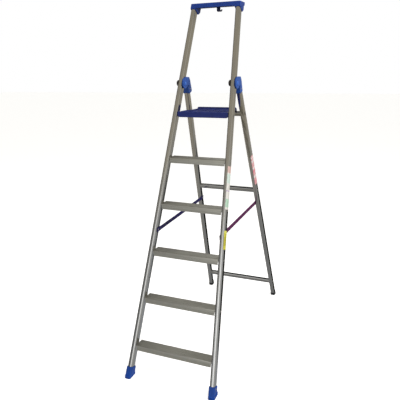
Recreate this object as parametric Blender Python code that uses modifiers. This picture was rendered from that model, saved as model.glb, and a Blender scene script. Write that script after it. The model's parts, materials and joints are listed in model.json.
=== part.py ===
"""Aluminium platform step ladder with five treads, a folding platform and a tray on its guard rail.

Metres, +Z up, +X the ladder's right as its user faces it, -Y the climbing side.
The origin is on the floor under the middle of the ladder, which stands open.
"""

import math

import bmesh
import bpy
from mathutils import Matrix, Vector

# Frames: both lean towards each other, and each side member splays outwards going down.
LEAN = math.radians(20.6)
REAR_LEAN = math.radians(21.6)
SPLAY = math.radians(3.07)
FRONT_Y = -0.6218
HALF_BASE = 0.2337
REAR_HALF_BASE = 0.2362
PIVOT_Z = 1.483
LEG_OFFSET = 0.058

# Side members: hollow tubes with rounded corners.
STILE_W = 0.0255
STILE_D = 0.041
STILE_R = 0.0085
LEG_W = 0.0235
LEG_D = 0.035
LEG_R = 0.004
WALL = 0.0018
STILE_LOW = 0.022
STILE_HIGH = 2.020
LEG_LOW = 0.012
LEG_HIGH_BELOW_PIVOT = 0.006

# Treads.
TREAD_COUNT = 5
FIRST_TREAD_Z = 0.1635
PITCH = 0.235
TREAD_SETBACK = 0.0055
TREAD_D = 0.060
TREAD_H = 0.031
TREAD_SKIN = 0.002
RIB_COUNT = 7
RIB_H = 0.001
PORT_U = 0.016
PORT_DROP = 0.009

# Rear crossbars: square tubes between the rear legs.
BAR = 0.023
BAR_R = 0.0025
CROSSBAR_HEIGHTS = {"rear_crossbar_lower": 0.120, "rear_crossbar_upper": 0.840}
REST_BAR_Z = 1.3155

# Platform.
DECK_Z = 1.3375
DECK_SKIN = 0.004
DECK_LOW = 1.3075
DECK_FRONT = 0.0020
DECK_REAR = 0.224
DECK_HALF = 0.1430
DECK_MID_HALF = 0.1380
DECK_REAR_HALF = 0.1212
DECK_TAPER = (0.105, 0.141)
DECK_AXIS_Z = 1.318

# Guard rail's top cap.
CAP_TOP = 1.898
CAP_FLOOR = 1.874
CAP_RISE = 0.006
CAP_HALF = 0.1380
CAP_SOCKET_WALL = 0.0022
CAP_SOCKET_IN = 0.0035
CAP_PROUD = 0.0035
CAP_D = 0.080
HOOK_DROP = 0.0215
HOOK_DEPTH = 0.066
HOOK_W = 0.010

# Front shoes.
FOOT_WALL = 0.0032
FOOT_TOP = 0.062
FOOT_RIVET_Z = 0.040
SOLE_H = 0.014

# Straps.
STRAP_W = 0.024
STRAP_T = 0.0014
STRAP_FRONT_Z = 0.733
STRAP_REAR_Z = 0.752
STRAP_HOLE = 0.0034

GAP = 0.0003
SIDES = {"left": -1, "right": 1}

ALONG_X = Matrix(((0, 0, 1, 0), (1, 0, 0, 0), (0, 1, 0, 0), (0, 0, 0, 1)))

COLOURS = {
    "aluminium": ((0.56, 0.55, 0.51), 0.34, 1.0),
    "tread_aluminium": ((0.50, 0.49, 0.45), 0.42, 1.0),
    "rivet_steel": ((0.62, 0.62, 0.60), 0.30, 1.0),
    "blue_plastic": ((0.020, 0.045, 0.245), 0.38, 0.0),
    "hinge_blue": ((0.030, 0.105, 0.400), 0.36, 0.0),
    "navy_plastic": ((0.018, 0.026, 0.160), 0.42, 0.0),
    "black_plastic": ((0.020, 0.019, 0.018), 0.48, 0.0),
    "strap_webbing": ((0.055, 0.030, 0.190), 0.80, 0.0),
    "label_pale": ((0.72, 0.66, 0.62), 0.50, 0.0),
    "label_yellow": ((0.80, 0.62, 0.05), 0.50, 0.0),
    "label_red": ((0.72, 0.30, 0.30), 0.50, 0.0),
}


# Scene, materials and collections

def clear_scene():
    for existing in list(bpy.data.objects):
        bpy.data.objects.remove(existing)


def new_collection(name):
    collection = bpy.data.collections.new(name)
    bpy.context.scene.collection.children.link(collection)
    return collection


def make_material(name):
    colour, roughness, metallic = COLOURS[name]
    material = bpy.data.materials.new(name)
    material.use_nodes = True
    shader = material.node_tree.nodes["Principled BSDF"]
    shader.inputs["Base Color"].default_value = (*colour, 1.0)
    shader.inputs["Roughness"].default_value = roughness
    shader.inputs["Metallic"].default_value = metallic
    material.diffuse_color = (*colour, 1.0)
    return material


clear_scene()
LADDER = new_collection("step_ladder")
CUTTERS = new_collection("cutters")
MATERIALS = {name: make_material(name) for name in COLOURS}


def add_part(name, mesh, material, matrix=None):
    """Link a mesh as one named piece of the ladder."""
    mesh.name = name
    mesh.materials.clear()
    mesh.materials.append(MATERIALS[material])
    part = bpy.data.objects.new(name, mesh)
    part.matrix_world = matrix or Matrix()
    LADDER.objects.link(part)
    return part


def add_cutter(name, mesh, matrix=None):
    cutter = bpy.data.objects.new(name, mesh)
    cutter.matrix_world = matrix or Matrix()
    cutter.display_type = "WIRE"
    cutter.hide_render = True
    CUTTERS.objects.link(cutter)
    return cutter


def boolean(part, cutter, operation="DIFFERENCE"):
    modifier = part.modifiers.new(cutter.name, "BOOLEAN")
    modifier.operation = operation
    modifier.solver = "EXACT"
    modifier.object = cutter


# Shapes

def rounded_rectangle(x0, x1, y0, y1, radius, steps=3):
    """Outline of a rectangle with round corners, anticlockwise."""
    corners = ((x1 - radius, y0 + radius, -90), (x1 - radius, y1 - radius, 0),
               (x0 + radius, y1 - radius, 90), (x0 + radius, y0 + radius, 180))
    points = []
    for cx, cy, start in corners:
        for step in range(steps + 1):
            angle = math.radians(start + 90 * step / steps)
            points.append((cx + radius * math.cos(angle), cy + radius * math.sin(angle)))
    return points


def circle(cx, cy, radius, count=16, start=0.0, turn=360.0):
    """Points round an arc; a full circle leaves out its repeated last point."""
    last = count if turn == 360.0 else count - 1
    angles = [math.radians(start + turn * step / last) for step in range(count)]
    return [(cx + radius * math.cos(a), cy + radius * math.sin(a)) for a in angles]


def extrusion(outlines, length):
    """Mesh of flat outlines extruded evenly both ways along Z; inner outlines are holes."""
    curve = bpy.data.curves.new("outline", "CURVE")
    curve.dimensions = "2D"
    curve.fill_mode = "BOTH"
    curve.extrude = length / 2
    for outline in outlines:
        spline = curve.splines.new("POLY")
        spline.points.add(len(outline) - 1)
        for point, (x, y) in zip(spline.points, outline):
            point.co = (x, y, 0, 1)
        spline.use_cyclic_u = True
    guide = bpy.data.objects.new("outline", curve)
    bpy.context.scene.collection.objects.link(guide)
    graph = bpy.context.evaluated_depsgraph_get()
    mesh = bpy.data.meshes.new_from_object(guide.evaluated_get(graph))
    bpy.data.objects.remove(guide)
    bpy.data.curves.remove(curve)
    shape = bmesh.new()
    shape.from_mesh(mesh)
    bmesh.ops.remove_doubles(shape, verts=shape.verts, dist=1e-6)
    bmesh.ops.recalc_face_normals(shape, faces=shape.faces)
    shape.to_mesh(mesh)
    shape.free()
    return mesh


def turned(profile, segments=16):
    """Mesh turned about Z from a profile of (radius, height), run down its outer side."""
    mesh = bpy.data.meshes.new("profile")
    edges = [(i, i + 1) for i in range(len(profile) - 1)]
    mesh.from_pydata([(r, 0, z) for r, z in profile], edges, [])
    guide = bpy.data.objects.new("profile", mesh)
    bpy.context.scene.collection.objects.link(guide)
    screw = guide.modifiers.new("screw", "SCREW")
    screw.steps = segments
    screw.render_steps = segments
    screw.use_merge_vertices = True
    screw.merge_threshold = 1e-6
    graph = bpy.context.evaluated_depsgraph_get()
    solid = bpy.data.meshes.new_from_object(guide.evaluated_get(graph))
    bpy.data.objects.remove(guide)
    bpy.data.meshes.remove(mesh)
    solid.shade_smooth()
    solid.set_sharp_from_angle(angle=math.radians(35))
    return solid


def box(x0, x1, y0, y1, z0, z1):
    shape = bmesh.new()
    bmesh.ops.create_cube(shape, size=1)
    size = Matrix.Diagonal((x1 - x0, y1 - y0, z1 - z0, 1))
    middle = Matrix.Translation(((x0 + x1) / 2, (y0 + y1) / 2, (z0 + z1) / 2))
    shape.transform(middle @ size)
    mesh = bpy.data.meshes.new("box")
    shape.to_mesh(mesh)
    shape.free()
    return mesh


def drills(holes):
    """One cutter mesh for several round holes, each (start, direction, length, radius)."""
    shape = bmesh.new()
    for start, direction, length, radius in holes:
        turn = direction.to_track_quat("Z", "Y").to_matrix().to_4x4()
        place = Matrix.Translation(start + direction.normalized() * length / 2)
        bmesh.ops.create_cone(shape, cap_ends=True, segments=12, radius1=radius, radius2=radius,
                              depth=length, matrix=place @ turn)
    mesh = bpy.data.meshes.new("drills")
    shape.to_mesh(mesh)
    shape.free()
    return mesh


def bevel(part, width, segments=2, angle=40):
    modifier = part.modifiers.new("bevel", "BEVEL")
    modifier.width = width
    modifier.segments = segments
    modifier.limit_method = "ANGLE"
    modifier.angle_limit = math.radians(angle)


# Places

def side_frame(side, lean, half_base, y):
    """Axes of a side member at the floor: across it, towards the rear, and up along it."""
    slope = Vector((0, math.sin(lean), math.cos(lean)))
    depth = Vector((0, math.cos(lean), -math.sin(lean)))
    across = Vector((math.cos(SPLAY), 0, 0)) + side * math.sin(SPLAY) * slope
    along = math.cos(SPLAY) * slope - Vector((side * math.sin(SPLAY), 0, 0))
    frame = Matrix((across, depth, along)).transposed().to_4x4()
    frame.translation = (side * half_base, y, 0)
    return frame


def plane_y(z, depth=0.0):
    """World y of the front frame at a height, at a depth behind the stiles' front faces."""
    return FRONT_Y + z * math.tan(LEAN) + depth / math.cos(LEAN)


PIVOT_Y = plane_y(PIVOT_Z, STILE_D / 2)
REAR_Y = PIVOT_Y + (LEG_OFFSET + PIVOT_Z * math.sin(REAR_LEAN)) / math.cos(REAR_LEAN)
LEG_FOOT_TO_PIVOT = (PIVOT_Z + LEG_OFFSET * math.sin(REAR_LEAN)) / math.cos(REAR_LEAN)
STILES = {name: side_frame(side, LEAN, HALF_BASE, FRONT_Y) for name, side in SIDES.items()}
LEGS = {name: side_frame(side, -REAR_LEAN, REAR_HALF_BASE, REAR_Y) for name, side in SIDES.items()}


def leg_y(z):
    """World y of the rear legs' axes at a height."""
    return REAR_Y - z * math.tan(REAR_LEAN)


def face_x(frame, offset, y, z):
    """World x where a line along X meets the plane at an offset across a side member."""
    inverse = frame.inverted()
    start = inverse @ Vector((0, y, z))
    step = inverse @ Vector((1, y, z)) - start
    return (offset - start.x) / step.x


def pointing(direction, start):
    """Frame at a point with its Z along a direction."""
    turn = direction.to_track_quat("Z", "Y").to_matrix().to_4x4()
    return Matrix.Translation(start) @ turn


def on_member(frame, offset, y, z):
    """World point on the plane at an offset across a member, at a world y and z."""
    return Vector((face_x(frame, offset, y, z), y, z))


# Fasteners

RIVET_R = 0.0024
RIVET_HEAD = 0.0050


def rivet(name, frame, offset, y, z, outward, grip, material="rivet_steel"):
    """Blind rivet across a side member, head on the face at the offset; returns its hole."""
    across = frame.to_3x3().col[0] * outward
    seat = on_member(frame, offset, y, z)
    profile = [(0, 0.0020), (0.0022, 0.0018), (0.0041, 0.0010), (RIVET_HEAD, GAP),
               (RIVET_R, GAP), (RIVET_R, -grip), (0, -grip)]
    add_part(name, turned(profile, 12), material, pointing(across, seat))
    return seat + across * 0.002, -across, grip + 0.004, RIVET_R + GAP


def drill_part(part, holes):
    cutter = add_cutter(part.name + "_holes", drills(holes))
    boolean(part, cutter)


# Front frame

def tread_top(index):
    return FIRST_TREAD_Z + index * PITCH


def stile(name, holes):
    outer = rounded_rectangle(-STILE_W / 2, STILE_W / 2, 0, STILE_D, STILE_R, 6)
    inner = rounded_rectangle(-STILE_W / 2 + WALL, STILE_W / 2 - WALL, WALL, STILE_D - WALL,
                              STILE_R - WALL, 6)
    mesh = extrusion([outer, inner], STILE_HIGH - STILE_LOW)
    middle = Matrix.Translation((0, 0, (STILE_HIGH + STILE_LOW) / 2))
    part = add_part("front_stile_" + name, mesh, "aluminium", STILES[name] @ middle)
    drill_part(part, holes)


def tread_section():
    """Outline of the ribbed channel, from the front edge rearwards, with zero at its top."""
    span = TREAD_D - 0.008
    pitch = span / RIB_COUNT
    top = [(0, -0.003), (0.001, -0.0008), (0.003, 0)]
    for rib in range(RIB_COUNT):
        start = 0.004 + rib * pitch
        top += [(start + pitch * 0.15, 0), (start + pitch * 0.25, -RIB_H),
                (start + pitch * 0.75, -RIB_H), (start + pitch * 0.85, 0)]
    top += [(TREAD_D - 0.003, 0), (TREAD_D - 0.001, -0.0008), (TREAD_D, -0.003)]
    skin = TREAD_SKIN
    under = skin + RIB_H
    rear = [(TREAD_D, -TREAD_H), (TREAD_D - 0.007, -TREAD_H), (TREAD_D - 0.007, skin - TREAD_H),
            (TREAD_D - skin, skin - TREAD_H), (TREAD_D - skin, -under)]
    port = [(PORT_U + 0.007, -under), (PORT_U + 0.007, -PORT_DROP - 0.006),
            (PORT_U - 0.007, -PORT_DROP - 0.006), (PORT_U - 0.007, -under)]
    front = [(skin, -under), (skin, skin - TREAD_H), (0.007, skin - TREAD_H),
             (0.007, -TREAD_H), (0, -TREAD_H)]
    hollow = [(PORT_U - 0.0055, -0.005), (PORT_U + 0.0055, -0.005),
              (PORT_U + 0.0055, -PORT_DROP - 0.0045), (PORT_U - 0.0055, -PORT_DROP - 0.0045)]
    return [top + rear + port + front, hollow]


def tread(index, trims):
    z = tread_top(index)
    y = plane_y(z) + TREAD_SETBACK
    mesh = extrusion(tread_section(), 2 * HALF_BASE)
    matrix = Matrix.Translation((0, y, z)) @ ALONG_X
    part = add_part("tread_%d" % (index + 1), mesh, "tread_aluminium", matrix)
    for trim in trims:
        boolean(part, trim)


def stile_trims():
    """Blocks that cut the treads' ends back to the stiles' inner faces."""
    trims = []
    for name, side in SIDES.items():
        inside = -side * (STILE_W / 2 + GAP)
        ends = sorted((inside, inside + side * 0.12))
        mesh = box(*ends, -0.05, 0.15, -0.05, 1.6)
        trims.append(add_cutter("tread_trim_" + name, mesh, STILES[name]))
    return trims


def tread_rivets(name, side):
    holes = []
    for index in range(TREAD_COUNT):
        z = tread_top(index) - PORT_DROP
        y = plane_y(tread_top(index)) + TREAD_SETBACK + PORT_U
        label = "tread_rivet_%d_%s" % (index + 1, name)
        holes.append(rivet(label, STILES[name], side * STILE_W / 2, y, z, side, STILE_W + 0.007))
    return holes


def front_foot(name):
    """Plastic shoe: a socket round the stile's end on a flared, round-cornered sole."""
    frame = STILES[name]
    half = STILE_W / 2 + FOOT_WALL
    sole_y0 = FRONT_Y - 0.0030
    sole_y1 = FRONT_Y + 0.0590
    sole_x = frame.translation.x
    upper = rounded_rectangle(-half, half, -FOOT_WALL, STILE_D + FOOT_WALL, 0.005)
    place = frame @ Matrix.Translation((0, 0, (FOOT_TOP - 0.03) / 2))
    socket = add_cutter("foot_socket_" + name, extrusion([upper], FOOT_TOP + 0.03), place)
    outline = rounded_rectangle(sole_x - 0.0170, sole_x + 0.0170, sole_y0, sole_y1, 0.009, 4)
    matrix = Matrix.Translation((0, 0, SOLE_H / 2))
    part = add_part("front_foot_" + name, extrusion([outline], SOLE_H), "blue_plastic", matrix)
    boolean(part, socket, "UNION")
    floor = box(sole_x - 0.1, sole_x + 0.1, FRONT_Y - 0.1, FRONT_Y + 0.2, -0.1, 0)
    boolean(part, add_cutter("foot_floor_" + name, floor))
    boolean(part, stile_void("foot_void_" + name, frame, STILE_LOW - GAP, 0.08))
    return part


def stile_void(name, frame, low, high):
    """Cutter of the stile's outer shape with a little clearance."""
    outline = rounded_rectangle(-STILE_W / 2 - GAP, STILE_W / 2 + GAP, -GAP, STILE_D + GAP,
                                STILE_R, 6)
    mesh = extrusion([outline], high - low)
    return add_cutter(name, mesh, frame @ Matrix.Translation((0, 0, (low + high) / 2)))


def foot_rivet(name, foot, side):
    frame = STILES[name]
    y = plane_y(FOOT_RIVET_Z, STILE_D / 2)
    offset = side * (STILE_W / 2 + FOOT_WALL)
    hole = rivet("foot_rivet_" + name, frame, offset, y, FOOT_RIVET_Z, side, 0.011)
    drill_part(foot, [hole])
    return hole


def top_cap():
    """Tray between two end sockets that hold the stiles' tops."""
    def yz(z, depth):
        return plane_y(z, depth - CAP_PROUD), z

    tray = [yz(CAP_FLOOR, 0), yz(CAP_FLOOR + CAP_RISE, CAP_D), yz(CAP_TOP, CAP_D), yz(CAP_TOP, 0)]
    mesh = extrusion([tray], 2 * CAP_HALF)
    part = add_part("top_cap", mesh, "blue_plastic", ALONG_X)
    top = CAP_TOP - 0.0010
    socket = [yz(CAP_FLOOR - 0.003, 0.0003), yz(1.8455, 0.045), yz(1.8465, 0.053),
              yz(1.857, 0.066), yz(top, 0.066), yz(top, 0.0003)]
    for name, side in SIDES.items():
        frame = STILES[name]
        ends = sorted((side * (STILE_W / 2 + CAP_SOCKET_WALL), -side * (STILE_W / 2 + CAP_SOCKET_IN)))
        x = side * (CAP_HALF - STILE_W / 2)
        local = [frame.inverted() @ Vector((x, y, z)) for y, z in socket]
        block = extrusion([[(point.y, point.z) for point in local]], ends[1] - ends[0])
        matrix = frame @ Matrix.Translation((sum(ends) / 2, 0, 0)) @ ALONG_X
        boolean(part, add_cutter("cap_socket_" + name, block, matrix), "UNION")
    wall = 0.0035
    recess = [yz(CAP_FLOOR + wall, wall), yz(CAP_FLOOR + CAP_RISE + wall, CAP_D - wall),
              yz(CAP_TOP + 0.01, CAP_D - wall), yz(CAP_TOP + 0.01, wall)]
    mesh = extrusion([recess], 2 * (CAP_HALF - STILE_W - 0.016))
    boolean(part, add_cutter("cap_recess", mesh, ALONG_X))
    for name, frame in STILES.items():
        boolean(part, stile_void("cap_void_" + name, frame, 1.9, STILE_HIGH + GAP))
    return part


def cap_screws(cap):
    """Pan-head screws through the cap's ends into the stiles; returns the stiles' holes."""
    z = 1.872
    y = plane_y(z, STILE_D / 2)
    stile_holes = {}
    cap_holes = []
    for name, side in SIDES.items():
        out = STILES[name].to_3x3().col[0] * side
        seat = on_member(STILES[name], side * (STILE_W / 2 + CAP_SOCKET_WALL), y, z)
        profile = [(0, 0.0022), (0.0028, 0.0021), (0.0042, 0.0012), (0.0043, GAP),
                   (0.0020, GAP), (0.0020, -0.012), (0, -0.012)]
        add_part("cap_screw_" + name, turned(profile, 12), "rivet_steel", pointing(out, seat))
        hole = (seat + out * 0.004, -out, 0.018, 0.0020 + GAP)
        stile_holes[name] = hole
        cap_holes.append(hole)
    drill_part(cap, cap_holes)
    return stile_holes


def bucket_hook():
    """J-shaped hook under the tray, its tip turned up towards the right."""
    drop = HOOK_DROP
    outline = [(-0.0125, drop), (-0.0125, 0.006), (-0.0085, 0), (0.0120, 0), (0.0165, 0.004),
               (0.0180, 0.010), (0.0155, 0.0115), (0.0125, 0.0072), (0.0085, 0.0064),
               (0.0060, 0.0085), (0.0060, drop)]
    mesh = extrusion([outline], HOOK_W)
    turn = Matrix.Rotation(math.radians(90), 4, "X")
    front = HOOK_DEPTH - HOOK_W / 2
    z = CAP_FLOOR + CAP_RISE * front / CAP_D - drop - 2 * GAP
    y = plane_y(z, HOOK_DEPTH)
    part = add_part("bucket_hook", mesh, "navy_plastic", Matrix.Translation((0, y, z)) @ turn)
    bevel(part, 0.0008, 1)


# Hinges

CHEEK_GAP = 0.0026
CHEEK_T = 0.0070
HEAD_R = 0.029
PIN_R = 0.005
NUT_GAP = 0.0013
NUT_T = 0.011
SOCKET_WALL = 0.003
SOCKET_LOW = -0.080
SOCKET_HIGH = 0.004


def pivot_frame():
    """Frame on the fold axis: X along it, Y rearwards across the legs, Z up along the legs."""
    frame = Matrix.Rotation(REAR_LEAN, 4, "X")
    frame.translation = (0, PIVOT_Y, PIVOT_Z)
    return frame


def hinge_body(name):
    """Cheek on the stile's +X face, with a socket behind the stile that holds the leg's top."""
    inner = face_x(STILES[name], STILE_W / 2, PIVOT_Y, PIVOT_Z) + CHEEK_GAP
    frame = pivot_frame()
    rear = LEG_OFFSET + LEG_D / 2 + SOCKET_WALL
    front = LEG_OFFSET - LEG_D / 2 - SOCKET_WALL
    head = circle(0, 0, HEAD_R, 13, 75, 215)
    outline = head + [(0.030, -0.024), (front + 0.003, -0.036), (0.056, -0.038), (0.065, -0.030),
                      (0.067, -0.016), (0.063, -0.002), (0.054, 0.010), (0.041, 0.019),
                      (0.026, 0.0245)]
    matrix = frame @ Matrix.Translation((inner + CHEEK_T / 2, 0, 0)) @ ALONG_X
    part = add_part("hinge_body_" + name, extrusion([outline], CHEEK_T), "hinge_blue", matrix)

    leg_local = frame.inverted() @ LEGS[name]
    leg_x = (leg_local @ Vector((0, 0, LEG_FOOT_TO_PIVOT - 0.035))).x
    low_x = leg_x - LEG_W / 2 - SOCKET_WALL - 0.002
    high_x = max(leg_x + LEG_W / 2 + SOCKET_WALL, inner + 0.001)
    block = [(front, SOCKET_LOW + 0.006), (front + 0.006, SOCKET_LOW + 0.0003),
             (rear - 0.006, SOCKET_LOW + 0.0003), (rear - 0.0003, SOCKET_LOW + 0.006),
             (rear - 0.0003, -0.010), (rear - 0.0063, 0.0055), (front + 0.012, 0.0055),
             (front, -0.008)]
    mesh = extrusion([block], high_x - low_x)
    matrix = frame @ Matrix.Translation(((low_x + high_x) / 2, 0, 0)) @ ALONG_X
    boolean(part, add_cutter("hinge_socket_" + name, mesh, matrix), "UNION")

    void = rounded_rectangle(-LEG_W / 2 - GAP, LEG_W / 2 + GAP, -LEG_D / 2 - GAP, LEG_D / 2 + GAP, LEG_R)
    top = LEG_FOOT_TO_PIVOT - LEG_HIGH_BELOW_PIVOT + GAP
    mesh = extrusion([void], 0.1)
    matrix = LEGS[name] @ Matrix.Translation((0, 0, top - 0.05))
    boolean(part, add_cutter("hinge_void_" + name, mesh, matrix))

    axis_start = frame @ Vector((inner - 0.01, 0, 0))
    pin_hole = (axis_start, Vector((1, 0, 0)), 0.03, PIN_R + GAP)
    drill_part(part, [pin_hole])
    return part, inner, high_x


def hinge_pin(name, cheek_inner):
    """Bolt through cheek and stile with its head on the cheek, and a round cap nut on its end."""
    far = face_x(STILES[name], -STILE_W / 2, PIVOT_Y, PIVOT_Z)
    seat = Vector((cheek_inner + CHEEK_T, PIVOT_Y, PIVOT_Z))
    reach = seat.x - far + NUT_GAP + 0.006
    profile = [(0, 0.0030), (0.0060, 0.0028), (0.0095, 0.0018), (0.0105, GAP),
               (PIN_R, GAP), (PIN_R, -reach), (0, -reach)]
    add_part("hinge_pin_" + name, turned(profile), "rivet_steel", pointing(Vector((1, 0, 0)), seat))
    nut = [(0, NUT_T), (0.0090, NUT_T), (0.0140, NUT_T - 0.0020), (0.0165, NUT_T - 0.0060),
           (0.0165, 0), (PIN_R + GAP, 0), (PIN_R + GAP, 0.0075), (0, 0.0075)]
    base = Vector((far - NUT_GAP, PIVOT_Y, PIVOT_Z))
    add_part("hinge_nut_" + name, turned(nut, 20), "black_plastic", pointing(Vector((-1, 0, 0)), base))
    return Vector((far - 0.01, PIVOT_Y, PIVOT_Z)), Vector((1, 0, 0)), STILE_W + 0.02, PIN_R + GAP


# Rear frame

def leg(name, holes):
    outer = rounded_rectangle(-LEG_W / 2, LEG_W / 2, -LEG_D / 2, LEG_D / 2, LEG_R)
    inner = rounded_rectangle(-LEG_W / 2 + WALL, LEG_W / 2 - WALL, -LEG_D / 2 + WALL,
                              LEG_D / 2 - WALL, LEG_R - WALL, 2)
    high = LEG_FOOT_TO_PIVOT - LEG_HIGH_BELOW_PIVOT
    middle = Matrix.Translation((0, 0, (high + LEG_LOW) / 2))
    mesh = extrusion([outer, inner], high - LEG_LOW)
    part = add_part("rear_leg_" + name, mesh, "aluminium", LEGS[name] @ middle)
    drill_part(part, holes)


def crossbar(name, z, trims):
    """Square tube between the rear legs, in their plane."""
    half = BAR / 2
    outer = rounded_rectangle(-half, half, -half, half, BAR_R, 2)
    inner = rounded_rectangle(-half + WALL, half - WALL, -half + WALL, half - WALL, 0.0009, 1)
    turn = Matrix.Rotation(REAR_LEAN, 4, "X")
    matrix = Matrix.Translation((0, leg_y(z), z)) @ turn @ ALONG_X
    part = add_part(name, extrusion([outer, inner], 2 * REAR_HALF_BASE), "aluminium", matrix)
    for trim in trims:
        boolean(part, trim)


def leg_trims():
    trims = []
    for name, side in SIDES.items():
        inside = -side * (LEG_W / 2 + GAP)
        ends = sorted((inside, inside + side * 0.12))
        mesh = box(*ends, -0.1, 0.1, -0.1, 1.7)
        trims.append(add_cutter("crossbar_trim_" + name, mesh, LEGS[name]))
    return trims


def crossbar_bolts(name, side):
    """Bolts from the legs' outer faces into the crossbars' ends."""
    heights = dict(CROSSBAR_HEIGHTS, platform_rest_bar=REST_BAR_Z)
    holes = []
    for bar, z in heights.items():
        label = "%s_bolt_%s" % (bar, name)
        offset = side * LEG_W / 2
        holes.append(rivet(label, LEGS[name], offset, leg_y(z), z, side, LEG_W + 0.008))
    return holes


def rear_foot(name):
    """Plug over the leg's lower end with a flat sole."""
    frame = LEGS[name]
    wall = 0.0018
    low, high = -0.03, 0.026
    outline = rounded_rectangle(-LEG_W / 2 - wall, LEG_W / 2 + wall, -LEG_D / 2 - wall,
                                LEG_D / 2 + wall, LEG_R + wall)
    matrix = frame @ Matrix.Translation((0, 0, (low + high) / 2))
    part = add_part("rear_foot_" + name, extrusion([outline], high - low), "black_plastic", matrix)
    x = frame.translation.x
    floor = box(x - 0.1, x + 0.1, REAR_Y - 0.1, REAR_Y + 0.1, -0.1, 0)
    boolean(part, add_cutter("rear_foot_floor_" + name, floor))
    void = rounded_rectangle(-LEG_W / 2 - GAP, LEG_W / 2 + GAP, -LEG_D / 2 - GAP, LEG_D / 2 + GAP, LEG_R)
    matrix = frame @ Matrix.Translation((0, 0, LEG_LOW - GAP + 0.05))
    boolean(part, add_cutter("rear_foot_void_" + name, extrusion([void], 0.1), matrix))


def hinge_rivet(name, body, socket_face):
    """Rivet from the hinge socket's +X face through the leg inside it."""
    down = 0.058
    z = (LEG_FOOT_TO_PIVOT - down) * math.cos(REAR_LEAN)
    y = leg_y(z)
    across = Vector((1, 0, 0))
    seat = Vector((socket_face, y, z))
    grip = 0.024
    profile = [(0, 0.0020), (0.0022, 0.0018), (0.0041, 0.0010), (RIVET_HEAD, GAP),
               (RIVET_R, GAP), (RIVET_R, -grip), (0, -grip)]
    add_part("hinge_rivet_" + name, turned(profile, 12), "rivet_steel", pointing(across, seat))
    hole = (seat + across * 0.004, -across, grip + 0.006, RIVET_R + GAP)
    drill_part(body, [hole])
    return hole


# Platform

def deck_outline(inset):
    """Plan of the platform, from above: wide between the stiles, narrower between the legs."""
    y0 = plane_y(DECK_Z) + DECK_FRONT
    front, rear = y0 + inset, y0 + DECK_REAR - inset
    wide, narrow = DECK_HALF - inset, DECK_REAR_HALF - inset
    start, stop = y0 + DECK_TAPER[0], y0 + DECK_TAPER[1]
    right = [(wide, front), (DECK_MID_HALF - inset, start), (narrow, stop), (narrow, rear - 0.008),
             (narrow - 0.008, rear)]
    left = [(-x, y) for x, y in reversed(right)]
    return right + left


def platform():
    """Hollow tray-like deck with a raised rear rim and a saddle that sits on the rest bar."""
    middle = Matrix.Translation((0, 0, (DECK_Z + DECK_LOW) / 2))
    part = add_part("platform", extrusion([deck_outline(0)], DECK_Z - DECK_LOW), "navy_plastic", middle)
    rear = plane_y(DECK_Z) + DECK_FRONT + DECK_REAR
    rim = [(-0.117, 0), (0.117, 0), (0.117, 0.012), (0.110, 0.016), (-0.110, 0.016),
           (-0.117, 0.012)]
    turn = Matrix.Rotation(math.radians(90), 4, "X")
    matrix = Matrix.Translation((0, rear - 0.0045, DECK_Z - 0.006)) @ turn
    boolean(part, add_cutter("deck_rim", extrusion([rim], 0.0084), matrix), "UNION")
    low = DECK_LOW - 0.01
    high = DECK_Z - DECK_SKIN
    hollow = extrusion([deck_outline(0.0035)], high - low)
    boolean(part, add_cutter("deck_hollow", hollow, Matrix.Translation((0, 0, (low + high) / 2))))
    bar_y = leg_y(REST_BAR_Z)
    reach = BAR / 2 * (math.cos(REAR_LEAN) + math.sin(REAR_LEAN)) + GAP
    saddle = [(bar_y - reach - 0.016, DECK_LOW - 0.002), (bar_y + reach, DECK_LOW - 0.002),
              (bar_y + reach, REST_BAR_Z + reach), (bar_y - reach - 0.005, REST_BAR_Z + reach)]
    boolean(part, add_cutter("deck_saddle", extrusion([saddle], 0.4), ALONG_X))
    return part


def platform_pins(deck):
    """Pins from the stiles' outer faces into the platform's sides; returns the stiles' holes."""
    y = plane_y(DECK_AXIS_Z, STILE_D / 2)
    stile_holes = {}
    deck_holes = []
    for name, side in SIDES.items():
        out = Vector((side, 0, 0))
        outer = face_x(STILES[name], side * STILE_W / 2, y, DECK_AXIS_Z)
        seat = Vector((outer + side * 0.0006, y, DECK_AXIS_Z))
        reach = abs(seat.x) - DECK_HALF + 0.006
        profile = [(0, 0.0022), (0.0030, 0.0020), (0.0055, 0.0010), (0.0060, 0),
                   (0.0035, 0), (0.0035, -reach), (0, -reach)]
        add_part("platform_pin_" + name, turned(profile, 12), "rivet_steel", pointing(out, seat))
        hole = (seat + out * 0.004, -out, reach + 0.006, 0.0035 + GAP)
        stile_holes[name] = hole
        deck_holes.append(hole)
    drill_part(deck, deck_holes)
    return stile_holes


# Straps

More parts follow.
